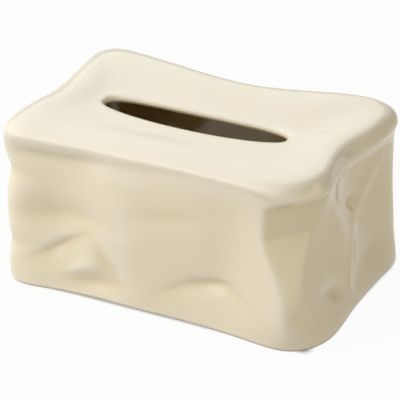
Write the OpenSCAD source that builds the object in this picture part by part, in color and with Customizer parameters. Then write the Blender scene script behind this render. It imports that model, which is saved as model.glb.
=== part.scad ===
// Tissue box cover: a slip-cast, glazed cover that drops over a pack of tissues.
// The cover is one open-bottomed ceramic shell on four stick-on foot pads.
// Its shell is a single skin: every section through it is the same closed run of rows,
// up out of the slot, over the top, down the wall, under the foot and back up inside.

/* [Body] */
// Length of the cover over its overhanging top
cover_l = 220; // [170:1:300]
// Depth of the cover over its overhanging top
cover_w = 146; // [120:1:200]
// Height of the ceramic at its highest corner, without its foot pads
cover_h = 112; // [85:1:160]
// Thickness of the side walls
wall_t = 5.5; // [4:0.5:9]
// Thickness of the top
top_t = 6; // [5:0.5:11]
// Largest swell of a wall out from, or in from, the line of the top's edge
swell = 10; // [0:0.5:12]

/* [Top] */
// Thickness of the overhanging edge, from the top down to the crease
slab_t = 13; // [8:0.5:18]
// Reach of the edge's rounding across the top
roll_w = 13; // [8:0.5:20]
// Depth of the slot's rim below the highest point of the top
slot_dip = 4.6; // [1.6:0.2:7]
// Rounding between the inner wall and the ceiling
cove_r = 15; // [8:1:20]

/* [Slot] */
// Length of the slot
slot_l = 126.4; // [90:0.2:140]
// Width of the slot
slot_w = 26.4; // [16:0.2:40]
// Distance of the slot's middle to the right of the cover's middle
slot_x = -5.2; // [-15:0.2:15]
// Distance of the slot's middle behind the cover's middle
slot_y = -3.6; // [-12:0.2:12]
// Turn of the slot, in degrees
slot_turn = 0.5; // [-8:0.5:8]
// Fullness of the slot's back edge, where 2 is a plain ellipse
slot_back = 4; // [2:0.1:6]
// Fullness of the slot's front edge
slot_front = 2; // [1.8:0.1:4]
// Rounding of the slot's lip
lip_r = 3.5; // [1.5:0.5:3.5]

/* [Foot] */
// Width of the rim that the cover stands on
foot_w = 11; // [10:0.5:16]
// Rounding of the rim's edges
foot_r = 4; // [2:0.5:5]

/* [Foot pads] */
// Diameter of a foot pad
pad_d = 6.5; // [4:0.5:8]
// Thickness of a foot pad
pad_t = 1; // [0.5:0.1:2]
// Diameter of the adhesive disc under a pad's face
glue_d = 6; // [3:0.2:7]
// Thickness of the adhesive disc
glue_t = 0.2; // [0.1:0.05:0.5]

/* [Hidden] */
// Height at which the dents in the walls die out below the crease, and the depth they take to do it
fade_z = cover_h - slab_t;
fade_h = 9;
// Distance behind a wall's face at which a dent in it is no longer felt
press_reach = 30;
// Facets of the round pads
pad_facets = 48;

half_l = cover_l / 2;
half_w = cover_w / 2;

// The edge of the top and the wall under it, from the front left corner anticlockwise.
// Each column holds x as a share of half the length, y as a share of half the depth,
// the lift of the top there, the depth of the crease as a share of the edge's thickness,
// how far the crease, the upper wall, the lower wall and the foot stand out, and how crisp the
// edge is, from 0 where it is soft to 1.
// Lifts and stand-outs are shares of the swell.
column_shares = [
    [-0.855, -1.035, -0.17, 1.25, -0.85, -0.34, -0.35, -0.35, 0.00],
    [-0.710, -1.025, -0.22, 1.22, -0.90, -0.56, -0.42, -0.45, 0.00],
    [-0.490, -1.005, -0.22, 1.12, -0.85, -0.36, -0.32, -0.40, 0.00],
    [-0.255, -0.975, -0.22, 0.81, -0.12, -0.15, -0.30, -0.40, 0.00],
    [0.000, -0.965, -0.22, 0.68, -0.15, -0.10, -0.25, -0.35, 0.00],
    [0.255, -0.965, -0.22, 0.62, -0.10, -0.20, -0.35, -0.30, 0.00],
    [0.490, -0.975, -0.22, 0.62, -0.10, -0.52, -0.55, -0.22, 0.05],
    [0.675, -0.980, -0.17, 0.73, -0.12, 0.04, 0.14, 0.02, 0.20],
    [0.810, -0.945, -0.17, 0.96, -0.20, 0.00, 0.76, 0.34, 0.50],
    [0.900, -0.835, -0.17, 1.04, -0.25, -0.50, 0.25, 0.50, 0.80],
    [0.955, -0.670, -0.17, 1.04, -0.30, -0.85, -0.35, 0.55, 1.00],
    [0.970, -0.480, -0.17, 1.00, -0.35, -0.95, -0.50, 0.60, 1.00],
    [0.945, -0.275, -0.17, 1.00, -0.35, -0.50, -0.28, 0.75, 1.00],
    [0.925, -0.070, -0.17, 1.00, -0.30, -0.02, 0.08, 0.80, 1.00],
    [0.925, 0.125, -0.17, 1.00, -0.30, -0.15, -0.02, 0.70, 1.00],
    [0.955, 0.315, -0.12, 1.00, -0.35, -0.45, -0.34, 0.30, 1.00],
    [0.975, 0.520, -0.12, 1.00, -0.28, -0.38, -0.40, 0.00, 0.90],
    [0.980, 0.725, -0.07, 1.00, -0.20, -0.05, -0.12, -0.05, 0.70],
    [0.950, 0.905, -0.07, 1.00, -0.15, -0.10, -0.04, 0.15, 0.40],
    [0.855, 1.000, -0.02, 1.00, -0.25, -0.32, -0.18, 0.15, 0.20],
    [0.700, 1.010, 0.03, 1.00, -0.30, -0.40, -0.40, -0.10, 0.10],
    [0.490, 0.950, -0.07, 1.00, -0.30, -0.20, 0.00, 0.20, 0.00],
    [0.255, 0.870, -0.17, 1.00, -0.25, 0.00, 0.35, 0.60, 0.00],
    [0.020, 0.830, -0.24, 1.00, -0.25, 0.10, 0.50, 0.80, 0.00],
    [-0.225, 0.850, -0.22, 1.00, -0.25, 0.00, 0.35, 0.65, 0.00],
    [-0.475, 0.905, -0.20, 1.00, -0.30, -0.15, 0.10, 0.35, 0.00],
    [-0.710, 0.950, -0.17, 1.00, -0.35, -0.30, -0.15, 0.10, 0.00],
    [-0.880, 0.960, -0.12, 1.00, -0.25, -0.30, -0.25, 0.05, 0.00],
    [-0.970, 0.870, -0.12, 1.00, -0.25, -0.30, -0.25, 0.10, 0.00],
    [-0.995, 0.685, -0.12, 1.00, -0.30, -0.45, -0.40, 0.00, 0.00],
    [-0.975, 0.440, -0.12, 1.00, -0.30, -0.40, -0.30, 0.15, 0.00],
    [-0.960, 0.180, -0.17, 1.00, -0.25, -0.20, 0.00, 0.30, 0.00],
    [-0.950, -0.095, -0.17, 1.00, -0.25, -0.10, 0.05, 0.30, 0.00],
    [-0.975, -0.370, -0.12, 1.04, -0.30, -0.25, -0.15, 0.10, 0.00],
    [-0.990, -0.615, -0.12, 1.15, 0.00, -0.18, -0.15, -0.10, 0.00],
    [-0.985, -0.820, -0.12, 1.23, 0.08, -0.05, -0.02, -0.12, 0.00],
    [-0.940, -0.960, -0.12, 1.25, -0.20, -0.08, -0.04, -0.18, 0.00]
];
columns = len(column_shares);
// Points of the skin from each column to the next, more where a side is long or dented
column_cuts = [
    3, 4, 4, 4, 4, 4, 4, 3, 2, 2, 2, 3, 3, 3, 3, 3, 3, 2, 2,
    2, 3, 3, 3, 3, 3, 3, 3, 2, 2, 3, 3, 3, 3, 3, 2, 2, 2
];

// Dents pressed into the soft walls, and low ridges where a share of depth is negative.
// Turns are the way that the pressed wall faces and the tilt of the dent's long axis, in degrees.
press_turns = [
    [-90, 5], [-90, 31], [-90, 18], [-90, 8], [-90, -55], [-90, 0], [-90, 6], [-90, 12], [-90, 12],
    [-135, 0], [-135, 0],
    [0, 125], [0, 80], [0, 125], [0, 47], [0, 72], [0, 90], [0, 4], [0, -20], [0, -20],
    [90, 20], [90, -15], [90, 60],
    [180, 55], [180, -20]
];
// Each row holds the place along the wall as a share of half that wall's length, then,
// as shares of the cover's height, the place up the wall, the half length, the reach above
// and below, the softness of the valley and the bow of its line; last comes the depth,
// as a share of the swell.
press_shares = [
    [-0.57, 0.475, 0.29, 0.16, 0.20, 0.040, 0.00, 0.95],
    [-0.61, 0.285, 0.165, 0.028, 0.14, 0.014, 0.00, 0.42],
    [-0.47, 0.180, 0.10, 0.06, 0.03, 0.014, 0.00, -0.24],
    [-0.38, 0.105, 0.17, 0.08, 0.055, 0.024, 0.00, 0.40],
    [-0.30, 0.230, 0.14, 0.05, 0.06, 0.030, 0.00, 0.32],
    [-0.20, 0.470, 0.22, 0.27, 0.20, 0.140, 0.00, -0.40],
    [0.34, 0.270, 0.24, 0.04, 0.06, 0.014, 0.055, 0.30],
    [0.39, 0.280, 0.11, 0.035, 0.022, 0.012, 0.00, 0.20],
    [0.10, 0.640, 0.24, 0.05, 0.05, 0.035, 0.00, 0.12],
    [-0.20, 0.70, 0.17, 0.06, 0.07, 0.035, 0.00, 0.42],
    [-0.20, 0.26, 0.17, 0.07, 0.06, 0.035, 0.00, 0.34],
    [-0.03, 0.630, 0.22, 0.11, 0.35, 0.050, 0.050, 0.50],
    [0.17, 0.590, 0.04, 0.030, 0.030, 0.015, 0.00, 0.30],
    [-0.16, 0.571, 0.25, 0.220, 0.150, 0.012, 0.088, -0.30],
    [0.37, 0.612, 0.29, 0.050, 0.060, 0.012, 0.00, -0.16],
    [0.03, 0.285, 0.15, 0.030, 0.050, 0.014, 0.00, -0.20],
    [0.60, 0.590, 0.26, 0.160, 0.160, 0.100, 0.00, 0.35],
    [0.40, 0.195, 0.23, 0.080, 0.070, 0.060, 0.00, 0.30],
    [-0.42, 0.215, 0.11, 0.030, 0.080, 0.016, 0.00, 0.32],
    [-0.40, 0.295, 0.15, 0.025, 0.030, 0.014, 0.040, -0.12],
    [-0.42, 0.46, 0.23, 0.11, 0.08, 0.025, 0.05, 0.45],
    [0.28, 0.30, 0.20, 0.07, 0.11, 0.015, 0.07, 0.45],
    [0.57, 0.62, 0.16, 0.08, 0.08, 0.045, 0.00, 0.35],
    [-0.41, 0.54, 0.20, 0.09, 0.09, 0.035, 0.07, 0.40],
    [0.38, 0.34, 0.16, 0.07, 0.08, 0.015, 0.05, 0.40]
];

// Corners of the wall pressed flat: the way that the flat faces, in degrees
flat_turns = [-32];
// The flat's distance from the middle, high up and low down, as shares of the walls' own in that
// direction; the heights at which it starts and ends its lean, its softness and the height
// above the foot at which it has died out, as shares of the cover's height
flat_shares = [[0.78, 0.92, 0.70, 0.25, 0.018, 0.20]];

// Rows round the slot: growth of the slot's outline and depth below the rim, as shares of the lip
lip_shares = [[0, 0.86], [0.17, 0.17], [1, -0.03]];
// Rows across the top from the lip to where the edge's rounding starts
field_shares = [0.20, 0.45, 0.72, 1.00];
// Rows over the edge and into the crease, where the edge is soft and where it is crisp: reach inwards
// as a share of the rounding, share of the crease's stand-out, and share of the crease's depth
soft_shares = [
    [0.50, 0, 0.02], [0.12, 0, 0.14], [0, 0.22, 0.38], [0, 0.55, 0.70], [0, 1, 1], [0, 0.80, 1.25]
];
crisp_shares = [
    [0.40, 0, 0.04], [0.26, 0, 0.34], [0, 0, 0.80], [0, 0.40, 0.95], [0, 1, 1.08], [0, 0.80, 1.25]
];
// Share of the crease's stand-out at which the edge's rows end and the wall starts
wall_start = soft_shares[len(soft_shares) - 1][1];
// Rows down the wall from the crease to the foot
wall_shares = [1/9, 2/9, 3/9, 4/9, 5/9, 6/9, 7/9, 8/9];
// Rows of the foot's outer edge: inset and height as shares of the foot's rounding
foot_shares = [[0, 1], [0.08, 0.3], [0.5, 0]];
// Rows across the flat rim, as shares of the foot's width
rim_shares = [0.24, 0.50, 0.76];
// Rows up the inside of the wall, from the foot to the crease
inner_shares = [8/9, 6/9, 4/9, 2/9];
// Rows of the cove under the ceiling: reach inwards and drop, as shares of the cove
cove_shares = [[0.10, 0.44], [0.60, 0.06]];
// Rows back along the ceiling to the slot
ceiling_shares = [1, 0.66, 0.33];

function smooth(t) = t * t * (3 - 2 * t);
function clamp(t) = min(max(t, 0), 1);
function wrap(list, i) = list[(i + len(list)) % len(list)];

// A cubic through four values at 0, 1/3, 2/3 and 1
function through(a, b, c, d, t) =
    (a * (1 - 3 * t) * (2 - 3 * t) * (1 - t) + b * 9 * t * (2 - 3 * t) * (1 - t)
        + c * 9 * t * (3 * t - 1) * (1 - t) + d * t * (3 * t - 1) * (3 * t - 2)) / 2;

// A point on the outline of a column, moved outwards by a distance
function ring(col, out) = [col[0] * (half_l + out), col[1] * (half_w + out)];

// A point on the slot's outline, grown by a distance, in the direction of a column
function slot_point(col, grow) =
    let (a = atan2(col[1], col[0]), full = sin(a) > 0 ? slot_back : slot_front)
    let (reach = (abs(cos(a))^full + abs(sin(a))^full)^(-1 / full))
    let (x = (slot_l / 2 + grow) * reach * cos(a), y = (slot_w / 2 + grow) * reach * sin(a))
    [
        slot_x + x * cos(slot_turn) - y * sin(slot_turn),
        slot_y + x * sin(slot_turn) + y * cos(slot_turn)
    ];

function mix(p, q, t) = p + (q - p) * t;
function at_height(p, z) = [p[0], p[1], z];

// The control points of one column, in the order in which the section runs
function section(col) =
    let (top = cover_h + col[2] * swell)
    let (rim_z = cover_h - slot_dip)
    let (ceiling = top - top_t)
    let (crease = col[3] * slab_t)
    let (edge = [for (i = [0:len(soft_shares) - 1]) mix(soft_shares[i], crisp_shares[i], col[8])])
    let (wall_top = top - edge[len(edge) - 1][2] * crease)
    let (foot_out = col[7] * swell)
    let (lip = slot_point(col, lip_r))
    let (roll = ring(col, -roll_w))
    let (cove = ring(col, -wall_t - cove_r))
    concat(
        [at_height(slot_point(col, 0), rim_z - top_t + lip_r / 2)],
        [for (s = lip_shares) at_height(slot_point(col, s[0] * lip_r), rim_z - s[1] * lip_r)],
        [for (t = field_shares) at_height(mix(lip, roll, t), mix(rim_z, top, smooth(t)))],
        [for (s = edge) at_height(ring(col, s[1] * col[4] * swell - s[0] * roll_w), top - s[2] * crease)],
        [for (t = wall_shares) at_height(ring(col, stand_out(col, t)), mix(wall_top, foot_r, t))],
        [for (s = foot_shares) at_height(ring(col, foot_out - s[0] * foot_r), s[1] * foot_r)],
        [for (s = rim_shares) at_height(ring(col, foot_out - s * foot_w), 0)],
        [for (i = [len(foot_shares) - 1:-1:0]) let (s = foot_shares[i])
            at_height(ring(col, foot_out - foot_w + s[0] * foot_r), s[1] * foot_r)],
        [for (t = inner_shares) at_height(ring(col, stand_out(col, t) - wall_t), mix(wall_top, foot_r, t))],
        [for (s = cove_shares)
            at_height(ring(col, mix(col[4] * swell, -cove_r, s[0]) - wall_t), ceiling - s[1] * cove_r)],
        [for (t = ceiling_shares)
            at_height(mix(slot_point(col, lip_r / 2), cove, t), mix(rim_z - top_t, ceiling, smooth(t)))],
        [at_height(slot_point(col, lip_r / 3), rim_z - top_t)]
    );

// How far the wall stands out at a share of its way down
function stand_out(col, t) = swell * through(col[4] * wall_start, col[5], col[6], col[7], t);

// Uniform cubic spline weights, and the spline through a closed list at u
function weights(t) = [(1 - t)^3, 3*t^3 - 6*t^2 + 4, -3*t^3 + 3*t^2 + 3*t + 1, t^3] / 6;
function spline(list, u) =
    let (i = floor(u), w = weights(u - floor(u)))
    w[0] * wrap(list, i - 1) + w[1] * wrap(list, i) + w[2] * wrap(list, i + 1) + w[3] * wrap(list, i + 2);

// Control points moved outwards so that the spline runs through the columns themselves
raw_net = [for (col = column_shares) section(col)];
rows = len(raw_net[0]);
net = [for (k = [0:columns - 1])
    (8 * raw_net[k] - wrap(raw_net, k - 1) - wrap(raw_net, k + 1)) / 6];

// Rows that carry the outer wall are cut finer than the rest
wall_from = len(lip_shares) + len(field_shares) + len(soft_shares);
wall_to = wall_from + len(wall_shares) + 1;
// The row along the middle of the flat rim, past which the skin is the shell's inside
rim_row = wall_to + len(foot_shares) + 1;
function row_cuts(j) = j >= wall_from && j < wall_to ? 3 : 1;
row_places = [for (j = [0:rows - 1]) for (c = [0:row_cuts(j) - 1]) j + c / row_cuts(j)];
column_places = [for (k = [0:columns - 1]) for (c = [0:column_cuts[k] - 1]) k + c / column_cuts[k]];

// The push of one dent on a point, along the way that the wall faces
function push(p, turn, share) =
    let (face = [cos(turn[0]), sin(turn[0])], side = [-sin(turn[0]), cos(turn[0])])
    let (wall = abs(face[0]) * half_l + abs(face[1]) * half_w)
    let (wall_half = abs(side[0]) * half_l + abs(side[1]) * half_w)
    let (x = p[0] * side[0] + p[1] * side[1] - share[0] * wall_half, z = p[2] - share[1] * cover_h)
    let (behind = p[0] * face[0] + p[1] * face[1] - wall * corner_share(turn[0]))
    let (along = (x * cos(turn[1]) + z * sin(turn[1])) / (share[2] * cover_h))
    let (across = z * cos(turn[1]) - x * sin(turn[1]) + share[6] * cover_h * along^2)
    let (soft = share[5] * cover_h, reach = (across > 0 ? share[3] : share[4]) * cover_h)
    let (fall = along^2 + (norm([across, soft]) - soft) / reach + (behind / press_reach)^2)
    -face * share[7] * swell * exp(-fall);

// A rounded corner stands in from the crossing of its two walls
function corner_share(turn) = turn % 90 == 0 ? 1 : 0.86;

// The sum of a list of pushes
function total(list, i = 0) = i == len(list) ? [0, 0] : list[i] + total(list, i + 1);

// The push of a flat on a point that lies a wall's thickness or nothing inside the outer skin
function flatten(p, inset, turn, share) =
    let (face = [cos(turn), sin(turn)], box = abs(face[0]) * half_l + abs(face[1]) * half_w)
    let (lean = smooth(clamp((share[2] * cover_h - p[2]) / ((share[2] - share[3]) * cover_h))))
    let (over = p[0] * face[0] + p[1] * face[1] + inset - box * mix(share[0], share[1], lean))
    let (fade = smooth(clamp((p[2] - foot_r) / (share[5] * cover_h))))
    -face * fade * (over + norm([over, share[4] * cover_h])) / 2;

// A point of the skin with every dent pressed in, dying out towards the overhanging edge
function pressed(p, inset) =
    let (hold = smooth(clamp((fade_z - p[2]) / fade_h)))
    let (shift = hold == 0 ? [0, 0] : total(concat(
        [for (i = [0:len(press_shares) - 1]) push(p, press_turns[i], press_shares[i])],
        [for (i = [0:len(flat_shares) - 1]) flatten(p, inset, flat_turns[i], flat_shares[i])])))
    [p[0] + hold * shift[0], p[1] + hold * shift[1], p[2]];

ribs = [for (column = net) [for (v = row_places) spline(column, v)]];
skin = [for (u = column_places) let (rib = spline(ribs, u))
    [for (i = [0:len(rib) - 1]) pressed(rib[i], row_places[i] < rim_row ? 0 : wall_t)]];

// The middle of the skin's plan, which becomes the origin
skin_xs = [for (rib = skin) for (p = rib) p[0]];
skin_ys = [for (rib = skin) for (p = rib) p[1]];
middle = [min(skin_xs) + max(skin_xs), min(skin_ys) + max(skin_ys)] / 2;
// The ceramic stands on the pads and their adhesive
stand_h = pad_t + glue_t;

// Columns over which the pads sit, one near each corner
pad_columns = [36, 9, 18, 28];
function rim_point(k) = spline([for (column = net) spline(column, rim_row)], k);

// The glazed shell
module cover_shell() {
    around = len(skin);
    along = len(skin[0]);
    points = [for (rib = skin) for (p = rib) p - [middle[0], middle[1], -stand_h]];
    function index(i, j) = (i % around) * along + j % along;
    faces = [for (i = [0:around - 1]) for (j = [0:along - 1]) for (half = [0, 1])
        half == 0
            ? [index(i, j), index(i + 1, j), index(i + 1, j + 1)]
            : [index(i, j), index(i + 1, j + 1), index(i, j + 1)]];
    color("#eee3cd")
        polyhedron(points, faces);
}

// Move to the middle of the rim over one of the pads
module at_pad(which) {
    p = rim_point(pad_columns[which]);
    translate([p[0] - middle[0], p[1] - middle[1], 0])
        children();
}

// A foot pad, flat underneath
module foot_pad(which) {
    color("#d9d4c8")
        at_pad(which)
            cylinder(h = pad_t, d = pad_d, $fn = pad_facets);
}

// The adhesive that holds a pad to the rim
module pad_adhesive(which) {
    color("#c9c2ae")
        at_pad(which)
            translate([0, 0, pad_t])
                cylinder(h = glue_t, d = glue_d, $fn = pad_facets);
}

cover_shell();
foot_pad(0);  // foot_pad_front_left
foot_pad(1);  // foot_pad_front_right
foot_pad(2);  // foot_pad_back_right
foot_pad(3);  // foot_pad_back_left
pad_adhesive(0);  // pad_adhesive_front_left
pad_adhesive(1);  // pad_adhesive_front_right
pad_adhesive(2);  // pad_adhesive_back_right
pad_adhesive(3);  // pad_adhesive_back_left
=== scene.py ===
"""Tissue box cover: the ivory glaze, the crumpled skin in fine detail and the foot pads."""

import math

import bpy
import numpy as np
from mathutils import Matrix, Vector


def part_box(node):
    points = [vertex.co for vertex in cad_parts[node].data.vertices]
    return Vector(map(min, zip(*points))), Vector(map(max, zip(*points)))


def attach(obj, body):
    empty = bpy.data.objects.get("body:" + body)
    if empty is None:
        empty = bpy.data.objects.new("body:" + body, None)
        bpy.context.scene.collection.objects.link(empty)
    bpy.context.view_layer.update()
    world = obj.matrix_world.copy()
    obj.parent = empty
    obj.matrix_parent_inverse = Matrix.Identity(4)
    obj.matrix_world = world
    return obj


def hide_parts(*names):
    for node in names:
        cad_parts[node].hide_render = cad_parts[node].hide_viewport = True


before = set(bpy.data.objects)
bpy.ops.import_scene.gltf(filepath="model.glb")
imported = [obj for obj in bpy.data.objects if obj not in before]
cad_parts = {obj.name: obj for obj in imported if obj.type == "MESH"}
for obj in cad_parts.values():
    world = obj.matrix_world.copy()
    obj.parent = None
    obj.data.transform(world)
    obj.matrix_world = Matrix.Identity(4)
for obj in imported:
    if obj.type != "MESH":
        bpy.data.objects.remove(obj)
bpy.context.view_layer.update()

MM = 0.001

# Sizes of the cover in millimetres, as in the part's own source. The slot's turn is in degrees, and
# slot_back and slot_front say how full its two edges are, where 2 is a plain ellipse.
cover_l = 220
cover_w = 146
cover_h = 112
wall_t = 5.5
top_t = 6
swell = 10
slab_t = 13
roll_w = 13
slot_dip = 4.6
cove_r = 15
slot_l = 126.4
slot_w = 26.4
slot_x = -5.2
slot_y = -3.6
slot_turn = 0.5
slot_back = 4
slot_front = 2
lip_r = 3.5
foot_w = 11
foot_r = 4
stand_h = 1.2
# Height at which the dents die out below the crease, the depth they take to do it, and the distance
# behind a wall's face at which a dent in it is no longer felt
fade_z = cover_h - slab_t
fade_h = 9
press_reach = 30
half_l = cover_l / 2
half_w = cover_w / 2
# A rounded corner stands in from the crossing of its two walls, to this share of its distance
corner_share = 0.86
# Rounding of a foot pad's edges, which the solids leave out
pad_round = 0.28

# Columns of the finer skin round the cover
columns_round = 555
# Rows of the finer skin for each row of the section: across the top, over the edge's rounding,
# down the wall, round the foot, and up the inside
top_cuts = 3
roll_cuts = 5
wall_cuts = 8
foot_cuts = 3
inner_cuts = 2
# Rows of the section on either side of the rim's middle row that show bare clay
clay_rows = 3.4
# Row of the section at which the ivory starts, in the slot
ivory_from = 0.4
# Rounds of blurring that the skin gets before it is measured for ridges and creases
blur_rounds = 18
# Keeps a division off nought
tiny = 1e-9

# The edge of the top and the wall under it, from the front left corner anticlockwise.
# Each column holds x as a share of half the length, y as a share of half the depth,
# the lift of the top there, the depth of the crease as a share of the edge's thickness,
# how far the crease, the upper wall, the lower wall and the foot stand out, and how crisp the
# edge is, from 0 where it is soft to 1. Lifts and stand-outs are shares of the swell.
column_shares = np.array([
    [-0.855, -1.035, -0.17, 1.25, -0.85, -0.34, -0.35, -0.35, 0.00],
    [-0.710, -1.025, -0.22, 1.22, -0.90, -0.56, -0.42, -0.45, 0.00],
    [-0.490, -1.005, -0.22, 1.12, -0.85, -0.36, -0.32, -0.40, 0.00],
    [-0.255, -0.975, -0.22, 0.81, -0.12, -0.15, -0.30, -0.40, 0.00],
    [0.000, -0.965, -0.22, 0.68, -0.15, -0.10, -0.25, -0.35, 0.00],
    [0.255, -0.965, -0.22, 0.62, -0.10, -0.20, -0.35, -0.30, 0.00],
    [0.490, -0.975, -0.22, 0.62, -0.10, -0.52, -0.55, -0.22, 0.05],
    [0.675, -0.980, -0.17, 0.73, -0.12, 0.04, 0.14, 0.02, 0.20],
    [0.810, -0.945, -0.17, 0.96, -0.20, 0.00, 0.76, 0.34, 0.50],
    [0.900, -0.835, -0.17, 1.04, -0.25, -0.50, 0.25, 0.50, 0.80],
    [0.955, -0.670, -0.17, 1.04, -0.30, -0.85, -0.35, 0.55, 1.00],
    [0.970, -0.480, -0.17, 1.00, -0.35, -0.95, -0.50, 0.60, 1.00],
    [0.945, -0.275, -0.17, 1.00, -0.35, -0.50, -0.28, 0.75, 1.00],
    [0.925, -0.070, -0.17, 1.00, -0.30, -0.02, 0.08, 0.80, 1.00],
    [0.925, 0.125, -0.17, 1.00, -0.30, -0.15, -0.02, 0.70, 1.00],
    [0.955, 0.315, -0.12, 1.00, -0.35, -0.45, -0.34, 0.30, 1.00],
    [0.975, 0.520, -0.12, 1.00, -0.28, -0.38, -0.40, 0.00, 0.90],
    [0.980, 0.725, -0.07, 1.00, -0.20, -0.05, -0.12, -0.05, 0.70],
    [0.950, 0.905, -0.07, 1.00, -0.15, -0.10, -0.04, 0.15, 0.40],
    [0.855, 1.000, -0.02, 1.00, -0.25, -0.32, -0.18, 0.15, 0.20],
    [0.700, 1.010, 0.03, 1.00, -0.30, -0.40, -0.40, -0.10, 0.10],
    [0.490, 0.950, -0.07, 1.00, -0.30, -0.20, 0.00, 0.20, 0.00],
    [0.255, 0.870, -0.17, 1.00, -0.25, 0.00, 0.35, 0.60, 0.00],
    [0.020, 0.830, -0.24, 1.00, -0.25, 0.10, 0.50, 0.80, 0.00],
    [-0.225, 0.850, -0.22, 1.00, -0.25, 0.00, 0.35, 0.65, 0.00],
    [-0.475, 0.905, -0.20, 1.00, -0.30, -0.15, 0.10, 0.35, 0.00],
    [-0.710, 0.950, -0.17, 1.00, -0.35, -0.30, -0.15, 0.10, 0.00],
    [-0.880, 0.960, -0.12, 1.00, -0.25, -0.30, -0.25, 0.05, 0.00],
    [-0.970, 0.870, -0.12, 1.00, -0.25, -0.30, -0.25, 0.10, 0.00],
    [-0.995, 0.685, -0.12, 1.00, -0.30, -0.45, -0.40, 0.00, 0.00],
    [-0.975, 0.440, -0.12, 1.00, -0.30, -0.40, -0.30, 0.15, 0.00],
    [-0.960, 0.180, -0.17, 1.00, -0.25, -0.20, 0.00, 0.30, 0.00],
    [-0.950, -0.095, -0.17, 1.00, -0.25, -0.10, 0.05, 0.30, 0.00],
    [-0.975, -0.370, -0.12, 1.04, -0.30, -0.25, -0.15, 0.10, 0.00],
    [-0.990, -0.615, -0.12, 1.15, 0.00, -0.18, -0.15, -0.10, 0.00],
    [-0.985, -0.820, -0.12, 1.23, 0.08, -0.05, -0.02, -0.12, 0.00],
    [-0.940, -0.960, -0.12, 1.25, -0.20, -0.08, -0.04, -0.18, 0.00],
])
(
    share_x, share_y, lift_share, crease_share,
    crease_out, upper_out, lower_out, foot_out, crispness,
) = column_shares.T

# Dents in the walls, and low ridges where the depth is below nought. Each row holds the way that the
# wall faces and the tilt of the dent's long axis, in degrees, the place along the wall as a share of
# half its length, then, as shares of the cover's height, the place up the wall, the half length, the
# reach above and below, the softness of the valley and the bow of its line, and last the depth as a
# share of the swell.
press_shares = np.array([
    [-90, 5, -0.57, 0.475, 0.29, 0.16, 0.20, 0.040, 0.00, 0.95],
    [-90, 31, -0.61, 0.285, 0.165, 0.028, 0.14, 0.014, 0.00, 0.42],
    [-90, 18, -0.47, 0.180, 0.10, 0.06, 0.03, 0.014, 0.00, -0.24],
    [-90, 8, -0.38, 0.105, 0.17, 0.08, 0.055, 0.024, 0.00, 0.40],
    [-90, -55, -0.30, 0.230, 0.14, 0.05, 0.06, 0.030, 0.00, 0.32],
    [-90, 0, -0.20, 0.470, 0.22, 0.27, 0.20, 0.140, 0.00, -0.40],
    [-90, 6, 0.34, 0.270, 0.24, 0.04, 0.06, 0.014, 0.055, 0.30],
    [-90, 12, 0.39, 0.280, 0.11, 0.035, 0.022, 0.012, 0.00, 0.20],
    [-90, 12, 0.10, 0.640, 0.24, 0.05, 0.05, 0.035, 0.00, 0.12],
    [-135, 0, -0.20, 0.70, 0.17, 0.06, 0.07, 0.035, 0.00, 0.42],
    [-135, 0, -0.20, 0.26, 0.17, 0.07, 0.06, 0.035, 0.00, 0.34],
    [0, 125, -0.03, 0.630, 0.22, 0.11, 0.35, 0.050, 0.050, 0.50],
    [0, 80, 0.17, 0.590, 0.04, 0.030, 0.030, 0.015, 0.00, 0.30],
    [0, 125, -0.16, 0.571, 0.25, 0.220, 0.150, 0.012, 0.088, -0.30],
    [0, 47, 0.37, 0.612, 0.29, 0.050, 0.060, 0.012, 0.00, -0.16],
    [0, 72, 0.03, 0.285, 0.15, 0.030, 0.050, 0.014, 0.00, -0.20],
    [0, 90, 0.60, 0.590, 0.26, 0.160, 0.160, 0.100, 0.00, 0.35],
    [0, 4, 0.40, 0.195, 0.23, 0.080, 0.070, 0.060, 0.00, 0.30],
    [0, -20, -0.42, 0.215, 0.11, 0.030, 0.080, 0.016, 0.00, 0.32],
    [0, -20, -0.40, 0.295, 0.15, 0.025, 0.030, 0.014, 0.040, -0.12],
    [90, 20, -0.42, 0.46, 0.23, 0.11, 0.08, 0.025, 0.05, 0.45],
    [90, -15, 0.28, 0.30, 0.20, 0.07, 0.11, 0.015, 0.07, 0.45],
    [90, 60, 0.57, 0.62, 0.16, 0.08, 0.08, 0.045, 0.00, 0.35],
    [180, 55, -0.41, 0.54, 0.20, 0.09, 0.09, 0.035, 0.07, 0.40],
    [180, -20, 0.38, 0.34, 0.16, 0.07, 0.08, 0.015, 0.05, 0.40],
])

# A corner pressed flat: the way that the flat faces, in degrees, its distance from the middle high up
# and low down as shares of the walls' own, then, as shares of the cover's height, the heights between
# which it leans, its softness, and the height over the foot at which it has died out.
flat_shares = [
    [-32, 0.78, 0.92, 0.7, 0.25, 0.018, 0.2],
]

# Rows round the slot: growth of its outline and depth below its rim, as shares of the lip
lip_shares = [[0, 0.86], [0.17, 0.17], [1, -0.03]]
# Rows across the top, from the lip to where the edge's rounding starts
field_shares = [0.20, 0.45, 0.72, 1.00]
# Rows over the edge and into the crease, where the edge is soft and where it is crisp: reach inwards
# as a share of the rounding, share of the crease's stand-out, and share of the crease's depth
soft_shares = [
    [0.50, 0, 0.02], [0.12, 0, 0.14], [0, 0.22, 0.38], [0, 0.55, 0.70], [0, 1, 1], [0, 0.80, 1.25]
]
crisp_shares = [
    [0.40, 0, 0.04], [0.26, 0, 0.34], [0, 0, 0.80], [0, 0.40, 0.95], [0, 1, 1.08], [0, 0.80, 1.25]
]
# Share of the crease's stand-out at which the edge's rows end and the wall starts
wall_start = soft_shares[-1][1]
# Rows down the wall, from the crease to the foot
wall_shares = [k / 9 for k in range(1, 9)]
# Rows of the foot's outer edge: inset and height as shares of its rounding
foot_shares = [[0, 1], [0.08, 0.3], [0.5, 0]]
# Rows across the flat of the rim
rim_shares = [0.24, 0.50, 0.76]
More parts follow.
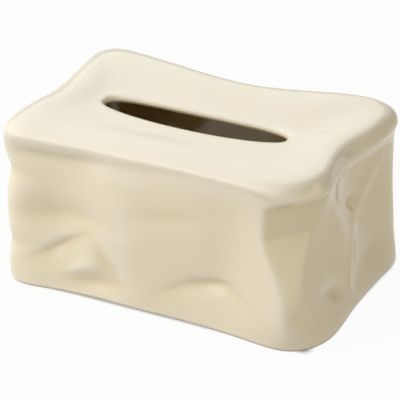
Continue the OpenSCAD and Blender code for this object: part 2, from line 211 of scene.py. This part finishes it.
# Rows up the inside, as shares of the way down the wall
inner_shares = [k / 9 for k in (8, 6, 4, 2)]
# Rows round the cove under the ceiling: reach inwards and depth as shares of its rounding
cove_shares = [[0.10, 0.44], [0.60, 0.06]]
# Rows across the ceiling, as shares of the way out from the slot
ceiling_shares = [1, 0.66, 0.33]

# Rows of the section where the edge's rounding starts and the wall starts and ends, the row in the
# middle of the rim, the row where the inner wall starts, and their number
roll_from = 1 + len(lip_shares) + len(field_shares)
wall_from = roll_from + len(soft_shares) - 1
wall_to = wall_from + len(wall_shares) + 1
rim_row = wall_to + len(foot_shares) + 1
inner_from = rim_row + 2 + len(foot_shares)
rows_in_all = inner_from + len(inner_shares) + len(cove_shares) + len(ceiling_shares) + 1


def smooth(t):
    """A share that starts and ends gently."""
    return t * t * (3 - 2 * t)


def ring(out):
    """The outline of the cover, moved outwards."""
    return np.column_stack([share_x * (half_l + out), share_y * (half_w + out)])


def slot_ring(grow):
    """The outline of the slot, grown, one point for each column."""
    angle = np.arctan2(share_y, share_x)
    full = np.where(np.sin(angle) > 0, slot_back, slot_front)
    reach = (np.abs(np.cos(angle)) ** full + np.abs(np.sin(angle)) ** full) ** (-1 / full)
    x = (slot_l / 2 + grow) * reach * np.cos(angle)
    y = (slot_w / 2 + grow) * reach * np.sin(angle)
    turn = math.radians(slot_turn)
    return np.column_stack([
        slot_x + x * math.cos(turn) - y * math.sin(turn),
        slot_y + x * math.sin(turn) + y * math.cos(turn),
    ])


def stand_out(t):
    """How far the wall stands out at a share of its way down: a smooth run through four figures."""
    return swell * (
        crease_out * wall_start * (1 - 3 * t) * (2 - 3 * t) * (1 - t)
        + upper_out * 9 * t * (2 - 3 * t) * (1 - t)
        + lower_out * 9 * t * (3 * t - 1) * (1 - t)
        + foot_out * t * (3 * t - 1) * (3 * t - 2)
    ) / 2


def control_net():
    """Control points of the skin: rows of the section by columns round the cover."""
    top = cover_h + lift_share * swell
    rim_z = cover_h - slot_dip
    ceiling = top - top_t
    crease = crease_share * slab_t
    crease_at = crease_out * swell
    foot_at = foot_out * swell
    rows = []

    def row(plan, z):
        rows.append(np.column_stack([plan, np.broadcast_to(z, len(column_shares))]))

    def between(a, b, t):
        return a + (b - a) * t

    edge = [
        [between(a, b, crispness) for a, b in zip(soft, hard)]
        for soft, hard in zip(soft_shares, crisp_shares)
    ]
    last_drop = edge[-1][2]
    wall_top = top - last_drop * crease

    row(slot_ring(0), rim_z - top_t + lip_r / 2)
    for grow, drop in lip_shares:
        row(slot_ring(grow * lip_r), rim_z - drop * lip_r)
    for t in field_shares:
        row(between(slot_ring(lip_r), ring(-roll_w), t), between(rim_z, top, smooth(t)))
    for reach, out, drop in edge:
        row(ring(out * crease_at - reach * roll_w), top - drop * crease)
    for t in wall_shares:
        row(ring(stand_out(t)), between(wall_top, foot_r, t))
    for inset, up in foot_shares:
        row(ring(foot_at - inset * foot_r), up * foot_r)
    for across in rim_shares:
        row(ring(foot_at - across * foot_w), 0)
    for inset, up in foot_shares[::-1]:
        row(ring(foot_at - foot_w + inset * foot_r), up * foot_r)
    for t in inner_shares:
        row(ring(stand_out(t) - wall_t), between(wall_top, foot_r, t))
    for reach, drop in cove_shares:
        row(ring(crease_at * (1 - reach) - wall_t - reach * cove_r), ceiling - drop * cove_r)
    for t in ceiling_shares:
        inner = ring(-wall_t - cove_r)
        row(between(slot_ring(lip_r / 2), inner, t), between(rim_z - top_t, ceiling, smooth(t)))
    row(slot_ring(lip_r / 3), rim_z - top_t)
    net = np.array(rows)
    # The spline cuts in at each column, so the columns are drawn out by about as much
    return (8 * net - np.roll(net, 1, 1) - np.roll(net, -1, 1)) / 6


def spline(points, places):
    """Points of a closed cubic spline, which runs along the first axis of its control points."""
    step = np.floor(places).astype(int)
    t = places - step
    # Six times the weights of the four nearest control points
    weights = [
        (1 - t) ** 3,
        3 * t ** 3 - 6 * t ** 2 + 4,
        -3 * t ** 3 + 3 * t ** 2 + 3 * t + 1,
        t ** 3,
    ]
    shape = (-1,) + (1,) * (points.ndim - 1)
    return sum(
        weight.reshape(shape) / 6 * points[(step + k - 1) % len(points)]
        for k, weight in enumerate(weights)
    )


def pressed(points, inset):
    """The points with every dent pressed in, dying out towards the overhanging edge.

    The inset is how far inside the outer skin each row of points runs."""
    hold = smooth(np.clip((fade_z - points[..., 2]) / fade_h, 0, 1))
    shift = np.zeros(points.shape[:-1] + (2,))
    for turn, tilt, place, up, half, above, below, softness, bow, depth in press_shares:
        way, lean = math.radians(turn), math.radians(tilt)
        face = np.array([math.cos(way), math.sin(way)])
        side = np.array([-math.sin(way), math.cos(way)])
        square = turn % 90 == 0
        wall = (abs(face[0]) * half_l + abs(face[1]) * half_w) * (1 if square else corner_share)
        wall_half = abs(side[0]) * half_l + abs(side[1]) * half_w
        x = points[..., :2] @ side - place * wall_half
        z = points[..., 2] - up * cover_h
        along = (x * math.cos(lean) + z * math.sin(lean)) / (half * cover_h)
        across = z * math.cos(lean) - x * math.sin(lean) + bow * cover_h * along ** 2
        soft = softness * cover_h
        reach = np.where(across > 0, above, below) * cover_h
        behind = (points[..., :2] @ face - wall) / press_reach
        fall = along ** 2 + (np.hypot(across, soft) - soft) / reach + behind ** 2
        shift -= face * (depth * swell * np.exp(-fall))[..., None]
    for turn, far_high, far_low, high, low, softness, foot in flat_shares:
        way = math.radians(turn)
        face = np.array([math.cos(way), math.sin(way)])
        box = abs(face[0]) * half_l + abs(face[1]) * half_w
        up = points[..., 2] / cover_h
        lean = smooth(np.clip((high - up) / (high - low), 0, 1))
        over = points[..., :2] @ face + inset - box * (far_high + (far_low - far_high) * lean)
        fade = smooth(np.clip((points[..., 2] - foot_r) / (foot * cover_h), 0, 1))
        shift -= face * (fade * (over + np.hypot(over, softness * cover_h)) / 2)[..., None]
    moved = points.copy()
    moved[..., :2] += hold[..., None] * shift
    return moved


def row_places():
    """Places down and up the section: finest over the roll and down the dented wall."""
    places = []
    for row in range(rows_in_all):
        if row < roll_from:
            cuts = top_cuts
        elif row < wall_from:
            cuts = roll_cuts
        elif row < wall_to:
            cuts = wall_cuts
        elif row < inner_from:
            cuts = foot_cuts
        else:
            cuts = inner_cuts
        places += [row + cut / cuts for cut in range(cuts)]
    return np.array(places)


def shell_skin():
    """The whole skin in millimetres, on the CAD model's origin, and its places on the section."""
    downs = row_places()
    ribs = np.swapaxes(spline(control_net(), downs), 0, 1)
    rounds = np.arange(columns_round) * len(ribs) / columns_round
    skin = pressed(spline(ribs, rounds), np.where(downs < rim_row, 0, wall_t))
    low, high = skin.reshape(-1, 3).min(0), skin.reshape(-1, 3).max(0)
    skin[..., :2] -= (low + high)[:2] / 2
    skin[..., 2] += stand_h
    return skin, downs


def relief(skin):
    """Height of the skin over its own blurred form: above nought on ridges, below it in creases."""
    blurred = skin
    for _ in range(blur_rounds):
        blurred = (blurred * 2 + np.roll(blurred, 1, 0) + np.roll(blurred, -1, 0)
                   + np.roll(blurred, 1, 1) + np.roll(blurred, -1, 1)) / 6
    down = np.roll(skin, -1, 1) - np.roll(skin, 1, 1)
    onward = np.roll(skin, -1, 0) - np.roll(skin, 1, 0)
    normal = np.cross(down, onward)
    normal /= np.linalg.norm(normal, axis=-1, keepdims=True) + tiny
    return np.einsum("ijk,ijk->ij", skin - blurred, normal)


class Value:
    """One output in a node tree. Sums and products of it add Math nodes."""

    def __init__(self, tree, socket):
        self.tree = tree
        self.socket = socket

    def _math(self, operation, first, second):
        return self.tree.add("ShaderNodeMath", {"operation": operation}, {0: first, 1: second})

    def __add__(self, other):
        return self._math("ADD", self, other)

    __radd__ = __add__

    def __mul__(self, other):
        return self._math("MULTIPLY", self, other)

    __rmul__ = __mul__

    def __sub__(self, other):
        return self._math("SUBTRACT", self, other)

    def __rsub__(self, other):
        return self._math("SUBTRACT", other, self)

    def __truediv__(self, other):
        return self._math("DIVIDE", self, other)

    def __rtruediv__(self, other):
        return self._math("DIVIDE", other, self)

    def at_most(self, limit):
        return self._math("MINIMUM", self, limit)

    def at_least(self, limit):
        return self._math("MAXIMUM", self, limit)

    def clamped(self):
        """The value held between nought and one, for a mask."""
        return self.at_least(0.0).at_most(1.0)


class Tree:
    """A node tree that is filled one node at a time."""

    def __init__(self, tree):
        self.tree = tree
        tree.nodes.clear()

    def add(self, kind, settings=None, inputs=None, out=0):
        """Adds a node: its settings first, then the values or links of its sockets.

        It gives the output that is asked for, or a list of them for a tuple of names."""
        node = self.tree.nodes.new(kind)
        for name, value in (settings or {}).items():
            setattr(node, name, value)
        for name, value in (inputs or {}).items():
            if isinstance(value, Value):
                self.tree.links.new(value.socket, node.inputs[name])
            else:
                node.inputs[name].default_value = value
        if isinstance(out, tuple):
            return [Value(self, node.outputs[name]) for name in out]
        return Value(self, node.outputs[out]) if node.outputs else None

    def mix_colour(self, factor, first, second):
        """A colour between two others, by a mask."""
        return self.add("ShaderNodeMix", {"data_type": "RGBA"}, {0: factor, 6: first, 7: second}, out=2)

    def noise(self, scale, detail=2.0, roughness=0.5):
        """Noise on the piece's own coordinates; its scale is in waves per metre."""
        return self.add("ShaderNodeTexNoise", {}, {
            "Vector": self.add("ShaderNodeTexCoord", out="Object"),
            "Scale": scale,
            "Detail": detail,
            "Roughness": roughness,
        })

    def bump(self, height, strength, distance):
        """A surface roughened by a height; its distance is in metres."""
        return self.add(
            "ShaderNodeBump", {}, {"Strength": strength, "Distance": distance, "Height": height})

    def end_in(self, base, roughness, ior=1.5, bump=None):
        """Ends a material in one shader of a base colour, a roughness and a bump."""
        sockets = {"Base Color": base, "Roughness": roughness, "IOR": ior}
        if bump is not None:
            sockets["Normal"] = bump
        shader = self.add("ShaderNodeBsdfPrincipled", {}, sockets)
        self.add("ShaderNodeOutputMaterial", {}, {"Surface": shader})


def finish(name):
    """A new material and its tree."""
    material = bpy.data.materials.new(name)
    material.use_nodes = True
    return material, Tree(material.node_tree)


def colour(red, green, blue):
    return (red, green, blue, 1.0)


def share(value, start, full):
    """A mask that is nought up to one value and one from the other on."""
    return ((value - start) / (full - start)).clamped()


def ivory_glaze():
    """Glossy ivory glaze: warmer and darker in creases, where it pools and where shade is painted in,
    paler over ridges, where it thins and a highlight is painted in, and with a painted cooler sheen on
    the top.
    """
    material, tree = finish("ivory_glaze")
    # Heights of the relief are in millimetres
    height = tree.add("ShaderNodeAttribute", {"attribute_name": "relief"}, out="Fac")
    # Painted shade: creases turn warmer and darker, partly as glaze pooling there and partly as shade
    # painted into the colour
    pooled_and_shaded = share(height, 0.2625, -0.3625)
    # Painted highlight: ridges turn paler, partly as thinner glaze there and partly as a highlight
    # painted into the colour
    thinned_and_highlit = share(height, 0.06, 0.31)
    # Levels over the floor are in metres, and over the crease the top takes a cooler, whiter ivory, a
    # painted sheen of the whiter light from above
    place = tree.add("ShaderNodeTexCoord", out="Object")
    level = tree.add("ShaderNodeSeparateXYZ", {}, {0: place}, out="Z")
    top = share(level, 0.088, 0.1005)
    cloud = tree.noise(16.0, 3.0, 0.55)
    # A speck shows only where its noise is over 0.62
    speck = tree.noise(900.0, 1.0, 0.4) - 0.62
    base = tree.mix_colour(cloud, colour(0.81, 0.745, 0.59), colour(0.84, 0.78, 0.63))
    # Over the ivory: pooled glaze with painted shade in creases, thinner glaze with a painted highlight
    # over ridges, and a painted sheen on the top
    base = tree.mix_colour(pooled_and_shaded * 0.6, base, colour(0.74, 0.63, 0.43))
    base = tree.mix_colour(thinned_and_highlit * 0.22, base, colour(0.88, 0.85, 0.78))
    base = tree.mix_colour(top * 0.55, base, colour(0.81, 0.76, 0.66))
    base = tree.mix_colour(speck * 0.6, base, colour(0.62, 0.52, 0.36))
    ripple = tree.noise(38.0, 1.0, 0.4)
    peel = tree.noise(420.0, 1.0, 0.5)
    bump = tree.bump(ripple + peel * 0.03, strength=0.35, distance=0.0004)
    tree.end_in(base, 0.07 + cloud * 0.04, bump=bump)
    return material


def inner_glaze():
    """A brown, glossy inside of the shell, darker than the ivory outside."""
    material, tree = finish("inner_glaze")
    cloud = tree.noise(30.0, 3.0, 0.6)
    base = tree.mix_colour(cloud, colour(0.46, 0.33, 0.11), colour(0.56, 0.42, 0.15))
    bump = tree.bump(tree.noise(120.0), strength=0.3, distance=0.0005)
    tree.end_in(base, 0.08 + cloud * 0.05, bump=bump)
    return material


def bare_clay():
    """The wiped foot rim, where the clay shows."""
    material, tree = finish("bare_clay")
    grain = tree.noise(700.0, 4.0, 0.6)
    base = tree.mix_colour(grain, colour(0.62, 0.55, 0.45), colour(0.76, 0.70, 0.60))
    bump = tree.bump(grain, strength=0.4, distance=0.0002)
    tree.end_in(base, 0.75 + grain * 0.15, bump=bump)
    return material


def pad_rubber():
    """Soft pale rubber with a fine matt tooth."""
    material, tree = finish("pad_rubber")
    tooth = tree.noise(2600.0, 3.0, 0.6)
    base = tree.mix_colour(tooth, colour(0.60, 0.58, 0.52), colour(0.72, 0.70, 0.64))
    bump = tree.bump(tooth, strength=0.3, distance=0.00006)
    tree.end_in(base, 0.62 + tooth * 0.15, bump=bump)
    return material


def pad_glue():
    """Yellowish adhesive film, solid in colour."""
    material, tree = finish("pad_glue")
    cloud = tree.noise(1500.0)
    base = tree.mix_colour(cloud, colour(0.56, 0.50, 0.38), colour(0.66, 0.60, 0.47))
    tree.end_in(base, 0.25 + cloud * 0.15, ior=1.47)
    return material


def make_piece(name, mesh):
    """A smooth-shaded piece of the object from its mesh."""
    mesh.name = name
    mesh.polygons.foreach_set("use_smooth", np.ones(len(mesh.polygons), dtype=bool))
    piece = bpy.data.objects.new(name, mesh)
    bpy.context.collection.objects.link(piece)
    return piece


def make_shell():
    """The glazed shell as one closed mesh, with its relief kept for the glaze."""
    skin, downs = shell_skin()
    around, along = skin.shape[:2]
    mesh = bpy.data.meshes.new("glazed_shell")
    index = np.arange(around * along).reshape(around, along)
    below = np.roll(index, -1, 1)
    faces = np.stack([index, below, np.roll(below, -1, 0), np.roll(index, -1, 0)], axis=-1)
    mesh.from_pydata((skin.reshape(-1, 3) * MM).tolist(), [], faces.reshape(-1, 4).tolist())
    height = mesh.attributes.new("relief", "FLOAT", "POINT")
    height.data.foreach_set("value", relief(skin).reshape(-1).astype(np.float32))
    for material in (ivory_glaze(), bare_clay(), inner_glaze()):
        mesh.materials.append(material)
    # Finishes down the section, as places in the list of materials: ivory, clay, inner
    coat = np.zeros(along, dtype=np.int32)
    coat[np.abs(downs - rim_row) < clay_rows] = 1
    coat[(downs >= rim_row + clay_rows) | (downs < ivory_from)] = 2
    mesh.polygons.foreach_set("material_index", np.tile(coat, around))
    mesh.update()
    return make_piece("glazed_shell", mesh)


def pad_tree(material):
    """Geometry tree of a round pad whose edges are rounded, from its named sizes."""
    group = bpy.data.node_groups.new("round_pad", "GeometryNodeTree")
    group.interface.new_socket("Geometry", in_out="OUTPUT", socket_type="NodeSocketGeometry")
    kinds = {"Centre": "Vector", "Radius": "Float", "Thickness": "Float", "Rounding": "Float"}
    for name, kind in kinds.items():
        group.interface.new_socket(name, in_out="INPUT", socket_type="NodeSocket" + kind)
    tree = Tree(group)
    centre, radius, thickness, rounding = tree.add("NodeGroupInput", out=tuple(kinds))
    disc = tree.add(
        "GeometryNodeMeshCylinder", {"fill_type": "NGON"},
        {"Vertices": 64, "Side Segments": 8, "Fill Segments": 14, "Radius": radius, "Depth": thickness})
    # Each point moves to the rounding's reach from the nearest point of a smaller disc inside
    place = tree.add("GeometryNodeInputPosition")
    x, y, z = tree.add("ShaderNodeSeparateXYZ", {}, {0: place}, out=("X", "Y", "Z"))
    flat = tree.add("ShaderNodeCombineXYZ", {}, {0: x, 1: y})
    reach = tree.add("ShaderNodeVectorMath", {"operation": "LENGTH"}, {0: flat}, out="Value")
    keep = ((radius - rounding) / (reach + tiny)).at_most(1.0)
    limit = thickness / 2 - rounding
    level = z.at_most(limit).at_least(limit * -1)
    held = tree.add("ShaderNodeCombineXYZ", {}, {0: x * keep, 1: y * keep, 2: level})
    out = tree.add("ShaderNodeVectorMath", {"operation": "SUBTRACT"}, {0: place, 1: held})
    out = tree.add("ShaderNodeVectorMath", {"operation": "NORMALIZE"}, {0: out})
    out = tree.add("ShaderNodeVectorMath", {"operation": "SCALE"}, {0: out, "Scale": rounding})
    round_place = tree.add("ShaderNodeVectorMath", {"operation": "ADD"}, {0: held, 1: out})
    shaped = tree.add("GeometryNodeSetPosition", {}, {"Geometry": disc, "Position": round_place})
    moved = tree.add("GeometryNodeTransform", {}, {"Geometry": shaped, "Translation": centre})
    whole = tree.add("GeometryNodeRealizeInstances", {}, {"Geometry": moved})
    dressed = tree.add("GeometryNodeSetMaterial", {}, {"Geometry": whole, "Material": material})
    tree.add("NodeGroupOutput", {}, {0: dressed})
    return group


def make_pad(name, group):
    """One foot pad in the place of its CAD node."""
    low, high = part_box(name)
    sizes = {
        "Centre": (low + high) / 2,
        "Radius": (high.x - low.x) / 2,
        "Thickness": high.z - low.z,
        "Rounding": pad_round * MM,
    }
    draft = bpy.data.objects.new("draft_" + name, bpy.data.meshes.new("draft_" + name))
    bpy.context.collection.objects.link(draft)
    modifier = draft.modifiers.new("round_pad", "NODES")
    modifier.node_group = group
    for item in group.interface.items_tree:
        if item.in_out == "INPUT":
            modifier[item.identifier] = sizes[item.name]
    shaped = draft.evaluated_get(bpy.context.evaluated_depsgraph_get())
    mesh = bpy.data.meshes.new_from_object(shaped)
    bpy.data.objects.remove(draft)
    return make_piece("soft_" + name, mesh)


def make_floor():
    """A plain white floor that keeps the cover's soft shadow, and the dark of the room under it."""
    mesh = bpy.data.meshes.new("floor")
    reach = 3.0
    mesh.from_pydata(
        [(-reach, -reach, 0), (reach, -reach, 0), (reach, reach, 0), (-reach, reach, 0)],
        [], [(0, 1, 2, 3)])
    floor = bpy.data.objects.new("floor", mesh)
    bpy.context.collection.objects.link(floor)
    material, tree = finish("white_floor")
    camera, glossy = tree.add("ShaderNodeLightPath", out=("Is Camera Ray", "Is Glossy Ray"))
    place = tree.add("ShaderNodeTexCoord", out="Object")
    x, y = tree.add("ShaderNodeSeparateXYZ", {}, {0: place}, out=("X", "Y"))
    # The room under the cover: how far out it reaches on the floor, and how far out it is fully dark
    room_l, room_w = 0.96 * half_l * MM, 0.893 * half_w * MM
    dark_l, dark_w = 0.9053 * half_l * MM, 0.822 * half_w * MM
    room = share(x * x, room_l ** 2, dark_l ** 2) * share(y * y, room_w ** 2, dark_w ** 2)
    # Outside that room the camera sees a white of the floor's own, which the glaze mirrors everywhere
    sight = camera * (1 - room) + glossy
    own_white = 0.96
    paper = tree.add("ShaderNodeBsdfDiffuse", {}, {"Color": colour(0.60, 0.59, 0.57)})
    lit = tree.add("ShaderNodeEmission", {}, {"Color": colour(1, 1, 1), "Strength": 1.0})
    shader = tree.add("ShaderNodeMixShader", {}, {0: sight * own_white, 1: paper, 2: lit})
    tree.add("ShaderNodeOutputMaterial", {}, {"Surface": shader})
    mesh.materials.append(material)


def make_lamp(name, place, size, watts, tint):
    """A soft oblong lamp that looks at the middle of the cover."""
    middle = (0, 0, 0.05)
    light = bpy.data.lights.new(name, "AREA")
    light.shape = "RECTANGLE"
    light.size, light.size_y = size
    light.energy = watts
    light.color = tint
    lamp = bpy.data.objects.new(name, light)
    lamp.location = place
    lamp.rotation_euler = (Vector(middle) - Vector(place)).to_track_quat("-Z", "Y").to_euler()
    bpy.context.collection.objects.link(lamp)


def make_world():
    """White behind the cover, mirrored faintly, and a dimmer warm fill that fades to the right."""
    world = bpy.data.worlds.new("studio")
    bpy.context.scene.world = world
    world.use_nodes = True
    tree = Tree(world.node_tree)
    camera, glossy = tree.add("ShaderNodeLightPath", out=("Is Camera Ray", "Is Glossy Ray"))
    # How strongly the glaze mirrors the white, and how strong the fill is
    mirrored, fill_strength = 0.3, 0.49
    # The fill loses most of its strength towards the right, a little behind and above the cover
    shaded_side, shade, steepness = (0.88, 0.30, 0.36), 0.8, 1.3
    way = tree.add("ShaderNodeTexCoord", out="Generated")
    facing = tree.add(
        "ShaderNodeVectorMath", {"operation": "DOT_PRODUCT"}, {0: way, 1: shaded_side}, out="Value")
    left_over = 1 - (facing * steepness).clamped() * shade
    fill = tree.add("ShaderNodeBackground", {}, {
        "Color": colour(1.0, 0.91, 0.73),
        "Strength": left_over * fill_strength,
    })
    white = tree.add("ShaderNodeBackground", {}, {"Color": colour(1, 1, 1), "Strength": 1.0})
    mixed = tree.add("ShaderNodeMixShader", {}, {0: camera + glossy * mirrored, 1: fill, 2: white})
    tree.add("ShaderNodeOutputWorld", {}, {"Surface": mixed})


def make_camera():
    """The photograph's view, over the front right corner and from far off, fitted to the outline."""
    camera = bpy.data.cameras.new("camera")
    camera.lens = 255.6
    camera.sensor_width = 36
    camera.shift_x = -0.0054
    camera.shift_y = 0.0027
    camera.clip_start = 0.05
    seer = bpy.data.objects.new("camera", camera)
    seer.location = (0.73932, -1.42154, 0.87020)
    target = Vector((-0.00124, 0.00002, 0.0512))
    seer.rotation_euler = (target - seer.location).to_track_quat("-Z", "Y").to_euler()
    bpy.context.collection.objects.link(seer)
    bpy.context.scene.camera = seer


shell = make_shell()
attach(shell, "root")
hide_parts("cover_shell")

pads = pad_tree(pad_rubber())
glue = pad_glue()
for corner in ("front_left", "front_right", "back_right", "back_left"):
    pad = make_pad("foot_pad_" + corner, pads)
    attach(pad, "root")
    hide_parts("foot_pad_" + corner)
    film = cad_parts["pad_adhesive_" + corner]
    film.data.materials.clear()
    film.data.materials.append(glue)

make_floor()
make_world()
daylight, plain, amber = (0.91, 0.955, 1.0), (1, 1, 1), (1.0, 0.88, 0.62)
make_lamp("window_softbox", place=(-0.95, 0.60, 1.10), size=(2.6, 1.2), watts=10.8, tint=daylight)
make_lamp("ceiling_softbox", place=(-0.40, -0.45, 1.60), size=(2.0, 1.4), watts=6.2, tint=daylight)
make_lamp("left_softbox", place=(-0.95, -1.05, 0.75), size=(1.4, 1.4), watts=7.6, tint=plain)
make_lamp("front_softbox", place=(-0.55, -1.15, 1.15), size=(2.0, 1.2), watts=8.0, tint=plain)
make_lamp("right_softbox", place=(1.50, 0.00, 0.30), size=(1.6, 0.8), watts=6.8, tint=amber)
make_camera()

scene = bpy.context.scene
scene.view_settings.view_transform = "Standard"
